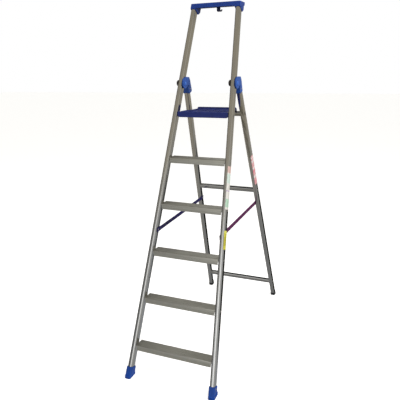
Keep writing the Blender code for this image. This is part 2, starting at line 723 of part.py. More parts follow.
def strap(name, side):
    """Flat webbing from a stile's inner face to the rear leg's inner face."""
    front_y = plane_y(STRAP_FRONT_Z, STILE_D / 2)
    rear_y = leg_y(STRAP_REAR_Z)
    lift = -side * 0.0008
    front = on_member(STILES[name], -side * STILE_W / 2, front_y, STRAP_FRONT_Z)
    rear = on_member(LEGS[name], -side * LEG_W / 2, rear_y, STRAP_REAR_Z)
    front.x += lift - side * STRAP_T / 2
    rear.x += lift - side * STRAP_T / 2
    along = (rear - front).normalized()
    normal = Vector((math.cos(SPLAY), 0, side * math.sin(SPLAY)))
    normal = (normal - along * normal.dot(along)).normalized()
    width = normal.cross(along)
    frame = Matrix((along, width, normal)).transposed().to_4x4()
    frame.translation = (front + rear) / 2
    half = (rear - front).length / 2
    end = half + 0.011
    outline = rounded_rectangle(-end, end, -STRAP_W / 2, STRAP_W / 2, 0.0025, 2)
    eyes = [circle(-half, 0, STRAP_HOLE, 12), circle(half, 0, STRAP_HOLE, 12)]
    add_part("strap_" + name, extrusion([outline] + eyes, STRAP_T), "strap_webbing", frame)
    holes = {}
    for place, frame, point in (("front", STILES[name], front), ("rear", LEGS[name], rear)):
        inward = Vector((-side, 0, 0))
        seat = point + inward * (STRAP_T / 2 + 0.0008)
        grip = 0.010
        profile = [(0, 0.0018), (0.0030, 0.0016), (0.0050, 0.0008), (0.0054, 0),
                   (0.0030, 0), (0.0030, -grip), (0, -grip)]
        label = "strap_anchor_%s_%s" % (place, name)
        add_part(label, turned(profile, 12), "rivet_steel", pointing(inward, seat))
        holes[place] = (seat + inward * 0.004, -inward, grip + 0.006, 0.0030 + GAP)
    return holes


# Labels

LABELS = (
    ("label_side", "label_pale", "stile", 0.872, 1.078, 0.0100, 0.0315),
    ("label_low", "label_yellow", "stile", 0.684, 0.772, 0.0095, 0.0315),
    ("label_rear", "label_red", "leg", 0.886, 1.068, -0.0125, 0.0110),
)


def label(name, material, member, z0, z1, depth0, depth1):
    """Thin printed film on the right stile's or right leg's outer face."""
    stile_member = member == "stile"
    frame = STILES["right"] if stile_member else LEGS["right"]
    lean = LEAN if stile_member else REAR_LEAN
    width = STILE_W if stile_member else LEG_W
    scale = 1 / (math.cos(lean) * math.cos(SPLAY))
    face = width / 2 + GAP
    mesh = box(face, face + GAP, depth0, depth1, z0 * scale, z1 * scale)
    add_part(name, mesh, material, frame)


# Assembly

def build():
    trims = stile_trims()
    for index in range(TREAD_COUNT):
        tread(index, trims)
    cap = top_cap()
    cap_holes = cap_screws(cap)
    bucket_hook()
    deck = platform()
    deck_holes = platform_pins(deck)
    bars = leg_trims()
    for name, z in CROSSBAR_HEIGHTS.items():
        crossbar(name, z, bars)
    crossbar("platform_rest_bar", REST_BAR_Z, bars)
    for name, side in SIDES.items():
        foot_hole = foot_rivet(name, front_foot(name), side)
        body, cheek_inner, socket_face = hinge_body(name)
        pin_hole = hinge_pin(name, cheek_inner)
        strap_holes = strap(name, side)
        stile_holes = tread_rivets(name, side)
        stile_holes += [foot_hole, cap_holes[name], deck_holes[name], pin_hole, strap_holes["front"]]
        stile(name, stile_holes)
        leg_holes = crossbar_bolts(name, side)
        leg_holes += [hinge_rivet(name, body, socket_face), strap_holes["rear"]]
        leg(name, leg_holes)
        rear_foot(name)
    for entry in LABELS:
        label(*entry)


build()
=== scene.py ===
"""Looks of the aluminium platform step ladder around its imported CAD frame."""

import json
import math

import bmesh
import bpy
from mathutils import Matrix, Vector

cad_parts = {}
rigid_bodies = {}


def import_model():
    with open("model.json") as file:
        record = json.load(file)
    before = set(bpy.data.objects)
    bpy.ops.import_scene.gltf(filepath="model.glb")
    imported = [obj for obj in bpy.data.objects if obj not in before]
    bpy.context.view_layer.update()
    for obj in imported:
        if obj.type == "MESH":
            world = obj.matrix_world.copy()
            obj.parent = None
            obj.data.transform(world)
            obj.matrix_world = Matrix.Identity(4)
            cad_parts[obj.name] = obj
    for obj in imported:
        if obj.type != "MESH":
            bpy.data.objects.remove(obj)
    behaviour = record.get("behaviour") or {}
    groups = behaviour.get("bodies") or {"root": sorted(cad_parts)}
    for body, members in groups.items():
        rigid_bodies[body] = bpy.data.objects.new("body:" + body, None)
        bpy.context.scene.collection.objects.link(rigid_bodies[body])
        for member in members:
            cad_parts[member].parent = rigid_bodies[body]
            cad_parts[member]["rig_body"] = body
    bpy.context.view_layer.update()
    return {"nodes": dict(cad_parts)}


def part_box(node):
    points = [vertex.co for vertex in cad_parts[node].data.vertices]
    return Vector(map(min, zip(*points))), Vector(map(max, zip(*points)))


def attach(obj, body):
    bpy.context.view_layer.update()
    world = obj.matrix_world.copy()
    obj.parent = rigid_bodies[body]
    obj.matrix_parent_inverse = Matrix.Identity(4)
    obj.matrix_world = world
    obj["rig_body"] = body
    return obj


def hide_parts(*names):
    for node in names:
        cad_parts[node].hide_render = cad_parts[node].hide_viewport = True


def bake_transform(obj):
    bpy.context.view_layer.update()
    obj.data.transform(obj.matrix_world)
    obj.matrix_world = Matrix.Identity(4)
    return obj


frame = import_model()
NODES = frame["nodes"]

# Driving sizes of the frame: its angles, and the tubes' widths, depths and corner radii in metres

SIDES = {"left": -1, "right": 1}
LEAN = math.radians(20.6)
REAR_LEAN = math.radians(21.6)
SPLAY = math.radians(3.07)
STILE_W = 0.0255
STILE_D = 0.041
STILE_R = 0.0085
LEG_W = 0.0235
LEG_D = 0.035
LEG_R = 0.004


# Measured places

def middle(node):
    low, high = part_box(node)
    return (low + high) / 2


def side_turn(side, lean):
    """Axes of a side member as columns: across it, towards the rear, and up along it."""
    slope = Vector((0, math.sin(lean), math.cos(lean)))
    depth = Vector((0, math.cos(lean), -math.sin(lean)))
    across = Vector((math.cos(SPLAY), 0, 0)) + side * math.sin(SPLAY) * slope
    along = math.cos(SPLAY) * slope - Vector((side * math.sin(SPLAY), 0, 0))
    return Matrix((across, depth, along)).transposed()


def member_frame(node, side, lean):
    """A side member's axes, placed at the middle of its node."""
    turn = side_turn(side, lean).to_4x4()
    turn.translation = middle(node)
    return turn


STILES = {name: member_frame("front_stile_" + name, side, LEAN) for name, side in SIDES.items()}
LEGS = {name: member_frame("rear_leg_" + name, side, -REAR_LEAN) for name, side in SIDES.items()}


# Material graphs

class Graph:
    """A material's node tree, with short ways to add nodes and join them."""

    def __init__(self, name, roughness=0.5, metallic=0.0, **sockets):
        self.material = bpy.data.materials.new(name)
        self.material.use_nodes = True
        self.tree = self.material.node_tree
        self.shader = self.tree.nodes["Principled BSDF"]
        self.set(self.shader, {"Roughness": roughness, "Metallic": metallic, **sockets})

    def set(self, node, inputs):
        for key, value in inputs.items():
            socket = node.inputs[key]
            if isinstance(value, bpy.types.NodeSocket):
                self.tree.links.new(value, socket)
            else:
                socket.default_value = value

    def add(self, kind, inputs=(), output=0, **settings):
        node = self.tree.nodes.new("ShaderNode" + kind)
        for key, value in settings.items():
            setattr(node, key, value)
        self.set(node, dict(inputs))
        return node.outputs[output]

    def place(self, turn=None, stretch=(1, 1, 1)):
        """Object coordinates in a member's axes, drawn out by so many metres a unit."""
        here = self.add("TexCoord", output="Object")
        euler = turn.to_euler() if turn else (0, 0, 0)
        start = turn.translation if turn and len(turn) == 4 else (0, 0, 0)
        return self.add("Mapping", {"Vector": here, "Rotation": euler, "Scale": stretch,
                                    "Location": start}, vector_type="TEXTURE")

    def noise(self, place, scale=1.0, detail=2.0, rough=0.5):
        return self.add("TexNoise", {"Vector": place, "Scale": scale, "Detail": detail,
                                     "Roughness": rough})

    def math(self, operation, a, b=0.0, c=0.0, clamp=False):
        node = self.tree.nodes.new("ShaderNodeMath")
        node.operation = operation
        node.use_clamp = clamp
        self.set(node, {0: a, 1: b, 2: c})
        return node.outputs[0]

    def spread(self, value, low, high, to_low=0.0, to_high=1.0, smooth=False):
        kind = "SMOOTHSTEP" if smooth else "LINEAR"
        return self.add("MapRange", {"Value": value, "From Min": low, "From Max": high,
                                     "To Min": to_low, "To Max": to_high},
                        interpolation_type=kind)

    def mix(self, share, a, b):
        node = self.tree.nodes.new("ShaderNodeMix")
        node.data_type = "RGBA"
        colours = [(*c, 1.0) if isinstance(c, tuple) and len(c) == 3 else c for c in (a, b)]
        self.set(node, {0: share, 6: colours[0], 7: colours[1]})
        return node.outputs[2]

    def bump(self, height, distance, strength=1.0, normal=None):
        inputs = {"Height": height, "Distance": distance, "Strength": strength}
        if normal is not None:
            inputs["Normal"] = normal
        return self.add("Bump", inputs)

    def finish(self, colour=None, roughness=None, normal=None):
        for key, value in (("Base Color", colour), ("Roughness", roughness), ("Normal", normal)):
            if value is not None:
                self.set(self.shader, {key: value})
        return self.material


def tinted(colour, factor):
    return tuple(min(1.0, c * factor) for c in colour)


# Size of one die line, tone band, scuffed cloud and fine nick: across, through and along a member
DIE_LINE = (0.0010, 0.0010, 0.9)
TONE_BAND = (0.0060, 0.0060, 0.7)
SCUFF = (0.05, 0.05, 0.11)
NICK = (0.0004, 0.0004, 0.004)
DIE_LINE_HEIGHT = 0.00012
NICK_HEIGHT = 0.00004
# Heights between which the colour warms towards the top: a painted reflection
REFLECTION_FADE_LOW = 0.70
REFLECTION_FADE_HIGH = 1.35
PALE_BAND = (0.70, 0.69, 0.66)


def aluminium(name, turn, painted_top_tint, cool, roughness, relief=1.0):
    """Extruded aluminium: die lines along the member, handling scuffs, and a warmer upper end that is a
    painted reflection.
    """
    g = Graph(name, metallic=1.0)
    lines = g.noise(g.place(turn, DIE_LINE), detail=3.0, rough=0.6)
    bands = g.noise(g.place(turn, TONE_BAND), detail=2.0)
    clouds = g.noise(g.place(turn, SCUFF), detail=4.0, rough=0.6)
    fine = g.noise(g.place(turn, NICK), detail=2.0)
    height = g.add("SeparateXYZ", {0: g.add("TexCoord", output="Object")}, output=2)
    # Painted reflection: the colour warms with height, from the foot colour to the top tint
    base = g.mix(g.spread(height, REFLECTION_FADE_LOW, REFLECTION_FADE_HIGH, smooth=True), cool, painted_top_tint)
    dull = g.mix(g.spread(clouds, 0.42, 0.66, 0.0, 0.35), base, tinted(cool, 0.72))
    colour = g.mix(g.spread(bands, 0.35, 0.65, 0.0, 0.30), dull, PALE_BAND)
    marks = g.spread(fine, 0.62, 0.70, 0.0, 0.06 * relief)
    rough = g.math("ADD",
                   g.spread(lines, 0.3, 0.7, roughness - 0.05 * relief, roughness + 0.06 * relief),
                   g.math("ADD", g.spread(clouds, 0.35, 0.7, -0.03 * relief, 0.05 * relief), marks))
    nicks = g.bump(fine, NICK_HEIGHT * relief, 0.35)
    normal = g.bump(lines, DIE_LINE_HEIGHT * relief, 0.5, nicks)
    return g.finish(colour, rough, normal)


# Size of one rubbed patch on a moulding
RUB = (0.010, 0.004, 0.010)


def moulded(name, colour, roughness, grain=0.0007, depth=0.00005, scuff=0.3, lighten=1.5,
            gloss=0.45):
    """Moulded plastic: spark-eroded grain, flow mottling and paler rubbed patches."""
    g = Graph(name)
    g.set(g.shader, {"Specular IOR Level": gloss})
    place = g.place()
    broad = g.noise(place, 24.0, 3.0, 0.55)
    grains = g.noise(place, 1.0 / grain, 2.0, 0.6)
    rubs = g.noise(g.place(None, RUB), 1.0, 4.0, 0.65)
    tone = g.mix(g.spread(broad, 0.3, 0.7), tinted(colour, 0.86), tinted(colour, 1.12))
    pale = tuple(c * lighten + 0.012 for c in colour)
    tone = g.mix(g.spread(rubs, 0.58, 0.74, 0.0, scuff), tone, pale)
    rough = g.math("ADD", g.spread(grains, 0.3, 0.7, roughness - 0.04, roughness + 0.06),
                   g.spread(rubs, 0.55, 0.75, 0.0, 0.10))
    return g.finish(tone, rough, g.bump(grains, depth, 0.8))


def plated(name, colour, roughness):
    """Zinc-plated steel with faint stains and frosting."""
    g = Graph(name, metallic=1.0)
    place = g.place()
    frost = g.noise(place, 700.0, 3.0, 0.6)
    stain = g.noise(place, 160.0, 2.0)
    tone = g.mix(g.spread(stain, 0.35, 0.7), colour, tinted(colour, 0.74))
    rough = g.spread(frost, 0.3, 0.7, roughness - 0.05, roughness + 0.12)
    return g.finish(tone, rough, g.bump(frost, 0.00004, 0.5))


RIB_PITCH = 0.0013
PICK_PITCH = 0.0021


def webbing(name, warp, weft, roughness=0.78):
    """Narrow woven strap: warp ribs along it, crossed by weft picks in alternating steps."""
    g = Graph(name, **{"Sheen Weight": 0.06, "Sheen Roughness": 0.5})
    uv = g.add("UVMap", uv_map="cloth")
    along, across, _ = (g.add("SeparateXYZ", {0: uv}, output=i) for i in range(3))
    wander = g.noise(g.add("Mapping", {"Vector": uv, "Scale": (900.0, 900.0, 900.0)}), 0.4, 2.0)
    drift = g.math("MULTIPLY", g.spread(wander, 0.2, 0.8, -0.5, 0.5), 0.6)
    rib = g.math("SINE", g.math("ADD", g.math("MULTIPLY", across, 2 * math.pi / RIB_PITCH), drift))
    shift = g.math("MULTIPLY", g.math("SIGN", rib), 0.5 * math.pi)
    pick = g.math("SINE", g.math("ADD", g.math("MULTIPLY", along, 2 * math.pi / PICK_PITCH), shift))
    weave = g.math("ADD", g.math("MULTIPLY", g.math("ABSOLUTE", rib), 0.6),
                   g.math("MULTIPLY", pick, 0.4))
    fade = g.noise(g.add("Mapping", {"Vector": uv, "Scale": (38.0, 90.0, 1.0)}), 1.0, 3.0)
    # The weave's low points take the weft at about half its brightness: partly the weft's own colour,
    # partly painted shade in the valleys between the yarns
    tone = g.mix(g.spread(weave, -0.2, 0.9), tinted(weft, 0.55), warp)
    tone = g.mix(g.spread(fade, 0.38, 0.62), tone, g.mix(g.spread(weave, -0.2, 0.9), warp, weft))
    rough = g.spread(weave, -0.4, 1.0, roughness + 0.1, roughness - 0.06)
    return g.finish(tone, rough, g.bump(weave, 0.00035, 0.9))


RUBBED_SPOT = (0.002, 0.002, 0.006)
HANDLED_SPOT = (0.006, 0.006, 0.02)
WORN_PAPER = (0.62, 0.60, 0.57)


def printed(name, turn, paper, bands, inks):
    """Printed film with plain colour bands along the member and no lettering."""
    g = Graph(name)
    g.set(g.shader, {"Coat Weight": 0.35, "Coat Roughness": 0.18})
    place = g.place(turn)
    along = g.add("SeparateXYZ", {0: place}, output=2)
    across = g.add("SeparateXYZ", {0: place}, output=1)
    tone = g.mix(g.spread(g.noise(place, 60.0, 3.0), 0.35, 0.65), paper, tinted(paper, 0.93))
    for (low, high), ink in zip(bands, inks):
        inside = g.math("MULTIPLY", g.math("GREATER_THAN", along, low),
                        g.math("LESS_THAN", along, high))
        tone = g.mix(inside, tone, ink)
    wear = g.noise(g.place(turn, RUBBED_SPOT), 1.0, 4.0, 0.7)
    tone = g.mix(g.spread(wear, 0.60, 0.72, 0.0, 0.5), tone, WORN_PAPER)
    handled = g.noise(g.place(turn, HANDLED_SPOT), 1.0, 2.0)
    rough = g.spread(handled, 0.3, 0.7, 0.42, 0.60)
    return g.finish(tone, rough, g.bump(g.math("ADD", wear, across), 0.00004, 0.4))


# Colours of the aluminium at the top, warmed there by a painted reflection, and at the foot, and every
# other material

TOP_REFLECTION_TINT = (0.600, 0.555, 0.465)
COOL = (0.560, 0.565, 0.570)
M = {
    "hook": moulded("navy_nylon", (0.012, 0.016, 0.070), 0.42),
    "cap": moulded("cap_polypropylene", (0.009, 0.042, 0.260), 0.38, scuff=0.35, lighten=1.6,
                   gloss=0.3),
    "hinge": moulded("hinge_nylon", (0.017, 0.085, 0.385), 0.36, scuff=0.3),
    "shoe": moulded("shoe_polypropylene", (0.006, 0.062, 0.360), 0.34, scuff=0.4, lighten=1.5,
                    gloss=0.35),
    "deck": moulded("platform_polypropylene", (0.014, 0.026, 0.170), 0.36, scuff=0.55, lighten=2.2,
                    gloss=0.35),
    # Deck ribs in pale grey, lighter than the navy deck, with rubbed patches
    "grip": moulded("platform_grey_ribs", (0.30, 0.31, 0.34), 0.26, scuff=0.6, lighten=1.4,
                    gloss=0.6),
    "knob": moulded("knob_nylon", (0.030, 0.022, 0.018), 0.40, scuff=0.4, lighten=2.2),
    "plug": moulded("plug_rubber", (0.018, 0.019, 0.022), 0.55, scuff=0.5, lighten=2.5),
    "steel": plated("zinc_steel", (0.66, 0.65, 0.62), 0.28),
    "strap_left": webbing("webbing_navy", (0.007, 0.004, 0.075), (0.012, 0.006, 0.120)),
    "strap_right": webbing("webbing_plum", (0.042, 0.003, 0.085), (0.190, 0.005, 0.080)),
    # Hinge bolt caps: blue nylon, paler than the hinge, which is a painted highlight on the round heads
    "bolt_highlight_blue": moulded("bolt_cap_nylon_painted_highlight", (0.06, 0.18, 0.60), 0.30, scuff=0.3),
    "screw_blue": moulded("screw_cap_nylon", (0.030, 0.080, 0.300), 0.36, scuff=0.3),
    "thread": moulded("stitch_thread", (0.020, 0.012, 0.080), 0.7, grain=0.0003),
}


# Shapes

def put(name, mesh, material, body, slot, *nodes, smooth=38):
    """Link a finished mesh as a piece that rides on a body and stands for its CAD nodes."""
    mesh.name = name
    if "custom_normal" in mesh.attributes:
        mesh.attributes.remove(mesh.attributes["custom_normal"])
    mesh.materials.clear()
    for entry in material if isinstance(material, list) else [material]:
        mesh.materials.append(entry)
    mesh.shade_smooth()
    mesh.set_sharp_from_angle(angle=math.radians(smooth))
    piece = bpy.data.objects.new(name, mesh)
    bpy.context.scene.collection.objects.link(piece)
    if nodes:
        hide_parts(*nodes)
    if body:
        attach(piece, body)
    return piece


def to_mesh(shape, name="shape"):
    mesh = bpy.data.meshes.new(name)
    shape.to_mesh(mesh)
    shape.free()
    return mesh


def welded(node):
    """A CAD node's solid as a clean bmesh: vertices welded, flat faces merged."""
    shape = bmesh.new()
    shape.from_mesh(NODES[node].data)
    for layer in list(shape.loops.layers.uv):
        shape.loops.layers.uv.remove(layer)
    bmesh.ops.remove_doubles(shape, verts=shape.verts, dist=2e-6)
    bmesh.ops.dissolve_limit(shape, angle_limit=math.radians(0.4), verts=shape.verts,
                             edges=shape.edges)
    return shape


def evaluated(mesh, stack):
    """A mesh after a stack of modifiers, each (kind, settings)."""
    holder = bpy.data.objects.new("holder", mesh)
    bpy.context.scene.collection.objects.link(holder)
    for kind, settings in stack:
        modifier = holder.modifiers.new(kind, kind)
        for key, value in settings.items():
            setattr(modifier, key, value)
    graph = bpy.context.evaluated_depsgraph_get()
    done = bpy.data.meshes.new_from_object(holder.evaluated_get(graph))
    bpy.data.objects.remove(holder)
    return done


def edged(node, width, segments=2, angle=40):
    """A CAD solid with its sharp edges rounded."""
    return evaluated(to_mesh(welded(node)), [
        ("BEVEL", {"width": width, "segments": segments, "limit_method": "ANGLE",
                   "angle_limit": math.radians(angle), "use_clamp_overlap": True})])


def softened(shape, voxel, rounds, share):
    """Overlapping solids fused into one moulded skin with rounded edges."""
    return evaluated(to_mesh(shape), [
        ("REMESH", {"mode": "VOXEL", "voxel_size": voxel, "use_smooth_shade": True}),
        ("SMOOTH", {"factor": 0.5, "iterations": rounds}),
        ("DECIMATE", {"decimate_type": "COLLAPSE", "ratio": share})])


def add_mesh(shape, verts, faces, matrix=None, slot=0):
    made = [shape.verts.new(matrix @ Vector(v) if matrix else v) for v in verts]
    for face in faces:
        shape.faces.new([made[i] for i in face]).material_index = slot
    return made


def add_lathe(shape, profile, matrix, segments=28, lobes=0, slot=0):
    """Solid turned about Z from (radius, height) points, top first; a third number is a lobe depth."""
    verts, faces = [], []
    for point in profile:
        radius, height = point[:2]
        depth = point[2] if len(point) > 2 else 0.0
        for step in range(segments):
            angle = 2 * math.pi * step / segments
            r = max(radius - depth * (0.5 - 0.5 * math.cos(lobes * angle)), 1e-5)
            verts.append((r * math.cos(angle), r * math.sin(angle), height))
    for ring in range(len(profile) - 1):
        a, b = ring * segments, (ring + 1) * segments
        for step in range(segments):
            after = (step + 1) % segments
            faces.append((a + step, b + step, b + after, a + after))
    faces.append(tuple(range(segments)))
    last = (len(profile) - 1) * segments
    faces.append(tuple(last + step for step in reversed(range(segments))))
    add_mesh(shape, verts, faces, matrix, slot)


AXIS_ROUNDS = 12
RIM_SHARE = 0.8


def head_frame(node):
    """A fastener's frame, with its origin on top of the head and Z outwards; its length; its radius."""
    points = [v.co.copy() for v in NODES[node].data.vertices]
    centre = sum(points, Vector()) / len(points)
    far = max(points, key=lambda p: (p - centre).length)
    axis = (far - centre).normalized()
    for _ in range(AXIS_ROUNDS):
        total = Vector()
        for p in points:
            offset = p - centre
            total += offset * offset.dot(axis)
        axis = total.normalized()
    heights = [(p - centre).dot(axis) for p in points]
    radii = [((p - centre) - axis * h).length for p, h in zip(points, heights)]
    widest = max(range(len(points)), key=lambda i: radii[i])
    if heights[widest] < 0:
        axis = -axis
        heights = [-h for h in heights]
    low, high = min(heights), max(heights)
    largest = max(radii)
    rim = [p - axis * (p - centre).dot(axis) for p, r in zip(points, radii)
           if r > RIM_SHARE * largest]
    middle_line = sum(rim, Vector()) / len(rim)
    matrix = axis.to_track_quat("Z", "Y").to_matrix().to_4x4()
    matrix.translation = middle_line + axis * high
    return matrix, high - low, largest


# Aluminium: hollow tubes and ribbed treads, whose front lips stop short of the stiles

LIP_TOP = 0.020
LIP_DEPTH = 0.008
LIP_NOTCH = 0.006
TUBE_EDGE = 0.0002
TREAD_EDGE = 0.00025
# Tread colours at the top, with a faint painted reflection tint, and at the foot
TREAD_TOP_REFLECTION_TINT = (0.50, 0.488, 0.425)
TREAD_COOL = (0.50, 0.490, 0.435)
SMOOTH_RELIEF = 0.06


def tube(node, turn, material_name, roughness, painted_top_tint=TOP_REFLECTION_TINT, cool=COOL, relief=0.7, smooth=38):
    """Put a hollow side member's tube; smooth is the angle in degrees above which edges stay sharp."""
    mesh = edged(node, TUBE_EDGE, segments=1, angle=50)
    material = aluminium(material_name, turn, painted_top_tint, cool, roughness, relief=relief)
    put(node + "_tube", mesh, material, NODES[node]["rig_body"], "aluminium_tube", node,
        smooth=smooth)


for name, side in SIDES.items():
    tube("front_stile_" + name, STILES[name], "extruded_stile_" + name, 0.15)
    tube("rear_leg_" + name, LEGS[name], "extruded_leg_" + name, 0.08,
         tinted(TOP_REFLECTION_TINT, 0.92), tinted(COOL, 0.95), relief=SMOOTH_RELIEF, smooth=25)

ACROSS = Matrix.Rotation(math.radians(90), 3, "Y")
BAR_METAL = aluminium("extruded_bar", ACROSS, tinted(TOP_REFLECTION_TINT, 0.8), tinted(COOL, 0.85), 0.06,
                      relief=SMOOTH_RELIEF)
TREAD_METAL = aluminium("extruded_tread", ACROSS, TREAD_TOP_REFLECTION_TINT, TREAD_COOL, 0.32)
for node in ("rear_crossbar_lower", "rear_crossbar_upper", "platform_rest_bar"):
    bar = edged(node, TUBE_EDGE, segments=1, angle=50)
    put(node + "_tube", bar, BAR_METAL, "rear_frame", "aluminium_tube", node)
for index in range(1, 6):
    node = "tread_%d" % index
    plank = edged(node, TREAD_EDGE, segments=1, angle=40)
    low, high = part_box(node)
    for vertex in plank.vertices:
        co = vertex.co
        if co.z < high.z - LIP_TOP and co.y < low.y + LIP_DEPTH:
            co.x -= math.copysign(LIP_NOTCH, co.x)
    put(node + "_plank", plank, TREAD_METAL, "front_frame", "aluminium_tread", node)


# Fasteners: head profiles as (share of the radius, share of the head's thickness, lobe depth),
# then each kind's head thickness and shank radius

RIVET = ((0.10, -0.45), (0.24, -0.52), (0.30, -0.10), (0.42, 0.0), (0.66, -0.16), (0.86, -0.48),
         (0.97, -0.82), (1.0, -1.0))
DISC = ((0.10, -0.40), (0.30, -0.42), (0.36, -0.04), (0.50, 0.0), (0.80, -0.06), (0.93, -0.30),
        (1.0, -0.62), (1.0, -1.0))
BOLT = ((0.10, -0.62, 0.0), (0.40, -0.62, 0.04), (0.43, -0.08, 0.04), (0.50, 0.0), (0.74, -0.05),
        (0.90, -0.28), (0.98, -0.62), (1.0, -1.0))
RIVET_SIZES = (0.0017, 0.0024)
ANCHOR_SIZES = (0.0018, 0.0030)
PLATFORM_PIN_SIZES = (0.0022, 0.0035)
CAP_SCREW_SIZES = (0.0019, 0.0020)
HINGE_BOLT_SIZES = (0.0027, 0.0050)
SHANK_CHAMFER = 0.0006
HEAD_SEGMENTS = 28


def fastener(node, profile, sizes, label, material="steel", lobes=0, slot="steel_fastener"):
    """Headed pin at its CAD node's place: a turned head over a plain shank."""
    thickness, shank = sizes
    matrix, reach, radius = head_frame(node)
    points = [(p[0] * radius, p[1] * thickness, *(d * radius for d in p[2:])) for p in profile]
    points += [(shank, -thickness), (shank, SHANK_CHAMFER - reach),
               (shank - SHANK_CHAMFER, -reach)]
    shape = bmesh.new()
    add_lathe(shape, points, matrix, HEAD_SEGMENTS, lobes)
    put(node + "_" + label, to_mesh(shape), M[material], NODES[node]["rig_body"], slot, node)


for name in SIDES:
    for index in range(1, 6):
        fastener("tread_rivet_%d_%s" % (index, name), RIVET, RIVET_SIZES, "dome")
    fastener("foot_rivet_" + name, RIVET, RIVET_SIZES, "dome")
    fastener("hinge_rivet_" + name, RIVET, RIVET_SIZES, "dome")
    for bar in ("rear_crossbar_lower", "rear_crossbar_upper"):
        fastener("%s_bolt_%s" % (bar, name), RIVET, RIVET_SIZES, "dome")
    for place in ("front", "rear"):
        fastener("strap_anchor_%s_%s" % (place, name), DISC, ANCHOR_SIZES, "disc")
    fastener("platform_pin_" + name, DISC, PLATFORM_PIN_SIZES, "disc")
    fastener("cap_screw_" + name, BOLT, CAP_SCREW_SIZES, "pan_head", "screw_blue", 4,
             "blue_plastic")
    # The hinge bolts take the paler blue: a painted highlight at each pivot
    fastener("hinge_pin_" + name, BOLT, HINGE_BOLT_SIZES, "bolt", "bolt_highlight_blue", 6,
             "hinge_blue_plastic")


OVAL_HALF_WIDTH = 0.0060
OVAL_HALF_LENGTH = 0.0085
OVAL_PROFILE = ((0.30, 0.0), (0.72, -0.0003), (0.93, -0.0009), (1.0, -0.0017), (1.0, -0.0019))
OVAL_UNDERSIDE = -0.0015


def bar_plug(node):
    """Rest bar's rivet under a dark oval cap that is longer up and down the leg."""
    matrix, reach, _ = head_frame(node)
    leg = LEGS["right" if matrix.translation.x > 0 else "left"]
    out = matrix.to_3x3().col[2]
    along = leg.to_3x3().col[2]
    frame_here = Matrix((along.cross(out).normalized(), along, out)).transposed().to_4x4()
    frame_here.translation = matrix.translation
    shape = bmesh.new()
    oval = Matrix.Diagonal((OVAL_HALF_WIDTH, OVAL_HALF_LENGTH, 1.0, 1.0))
    shank = RIVET_SIZES[1]
    add_lathe(shape, OVAL_PROFILE, frame_here @ oval, 32)
    add_lathe(shape, [(shank, OVAL_UNDERSIDE), (shank, -reach)], matrix, 20)
    put(node + "_cap", to_mesh(shape), M["knob"], "rear_frame", "black_plastic", node)


for name in SIDES:
    bar_plug("platform_rest_bar_bolt_" + name)


KNOB_LOBES = 9


def knob(node):
    """Round cap nut with a scalloped rim and a dished face."""
    low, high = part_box(node)
    centre = (low + high) / 2
    matrix = Matrix.Rotation(math.radians(-90), 4, "Y")
    matrix.translation = Vector((high.x, centre.y, centre.z))
    t, r = high.x - low.x, (high.z - low.z) / 2
    profile = [(0.2 * r, t - 0.0016), (0.45 * r, t - 0.0010), (0.55 * r, t - 0.0001), (0.68 * r, t),
               (0.82 * r, t - 0.0010, 0.0006), (0.94 * r, t - 0.0030, 0.0012),
               (1.0 * r, t - 0.0056, 0.0016), (1.0 * r, 0.0012, 0.0016), (0.95 * r, 0.0, 0.0010)]
    shape = bmesh.new()
    add_lathe(shape, profile, matrix, 8 * KNOB_LOBES, KNOB_LOBES)
    put(node + "_knob", to_mesh(shape), M["knob"], "front_frame", "black_plastic", node, smooth=50)


for name in SIDES:
    knob("hinge_nut_" + name)


# Mouldings

# Edge radii; the ring round a hinge bolt, outwards from its head; the grooves round a shoe's sole
HOOK_EDGE = 0.0014
BOSS_GAP = 0.0012
BOSS_WALL = 0.0040
BOSS_FLARE = 0.0048
BOSS_HEIGHT = 0.0014
BOSS_ROOT = -0.002
BOSS_STEPS = 40
SOLE_GROOVES = (0.0040, 0.0080, 0.0120)
GROOVE_HALF_WIDTH = 0.0011
GROOVE_DEPTH = 0.0009
GROOVED_HEIGHT = 0.014
SOLE_MIDDLE = 0.0285
PLUG_EDGE = 0.0009


def top_cap():
    """Tray with its two sockets, and the hook under it."""
    mesh = softened(welded("top_cap"), voxel=0.0010, rounds=2, share=0.3)
    put("top_cap_tray", mesh, M["cap"], "front_frame", "blue_plastic", "top_cap")
    put("bucket_hook_bent", edged("bucket_hook", HOOK_EDGE, segments=3, angle=30), M["hook"],
        "front_frame", "navy_plastic", "bucket_hook")


def hinge_body(name):
    """Hinge moulding with a raised ring round its bolt's head."""
    node = "hinge_body_" + name
    shape = welded(node)
    pin, _, pin_radius = head_frame("hinge_pin_" + name)
    boss = Matrix.Rotation(math.radians(90), 4, "Y")
    boss.translation = Vector((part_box(node)[1].x, pin.translation.y, pin.translation.z))
    inside = pin_radius + BOSS_GAP
    ring = [(inside, BOSS_ROOT), (inside, BOSS_HEIGHT), (inside + BOSS_WALL, BOSS_HEIGHT),
            (inside + BOSS_FLARE, BOSS_ROOT)]
    verts, faces = [], []
    for radius, height in ring:
        for step in range(BOSS_STEPS):
            angle = 2 * math.pi * step / BOSS_STEPS
            verts.append((radius * math.cos(angle), radius * math.sin(angle), height))
    for k in range(len(ring)):
        for step in range(BOSS_STEPS):
            after = (step + 1) % BOSS_STEPS
            a, b = k * BOSS_STEPS, (k + 1) % len(ring) * BOSS_STEPS
            faces.append((a + step, a + after, b + after, b + step))
    add_mesh(shape, verts, faces, boss)
    bmesh.ops.recalc_face_normals(shape, faces=shape.faces)
    mesh = softened(shape, voxel=0.0008, rounds=3, share=0.25)
    put(node + "_shell", mesh, M["hinge"], "rear_frame", "hinge_blue_plastic", node)


